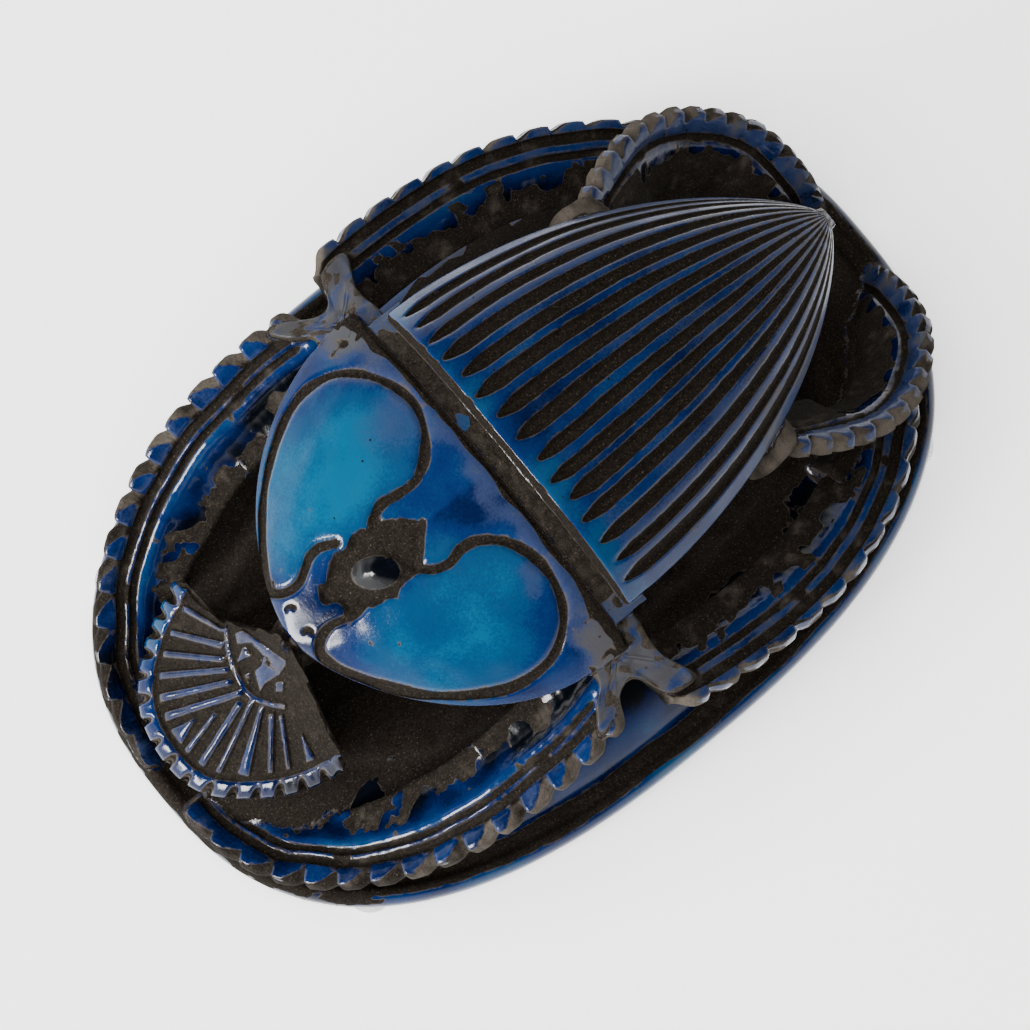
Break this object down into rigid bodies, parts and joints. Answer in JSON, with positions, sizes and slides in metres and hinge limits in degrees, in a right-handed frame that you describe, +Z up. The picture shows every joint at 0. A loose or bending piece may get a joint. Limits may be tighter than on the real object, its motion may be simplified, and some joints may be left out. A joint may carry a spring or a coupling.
{
  "type": "scarab ornament",
  "caption": "Glazed clay scarab standing on openwork legs over an oval base, with a ribbed back, an incised shield plate and a toothed fan-shaped head.",
  "frame": {"origin": "middle of the bounding box at the level of the surface it stands on", "axes": "+X towards the head, +Y towards the beetle's left side, +Z up"},
  "size_m": [0.18, 0.12, 0.088],
  "materials": {
    "glazed_clay": "glossy blue to turquoise glaze over black-brown clay, bare and matt in the incised lines, notches and hollows",
    "clear_pad": "clear soft stick-on pad, slightly hazy"
  },
  "bodies": {
    "root": {"scarab": "glazed_clay", "pad_front_left": "clear_pad", "pad_front_right": "clear_pad", "pad_rear_left": "clear_pad", "pad_rear_right": "clear_pad"}
  },
  "joints": []
}
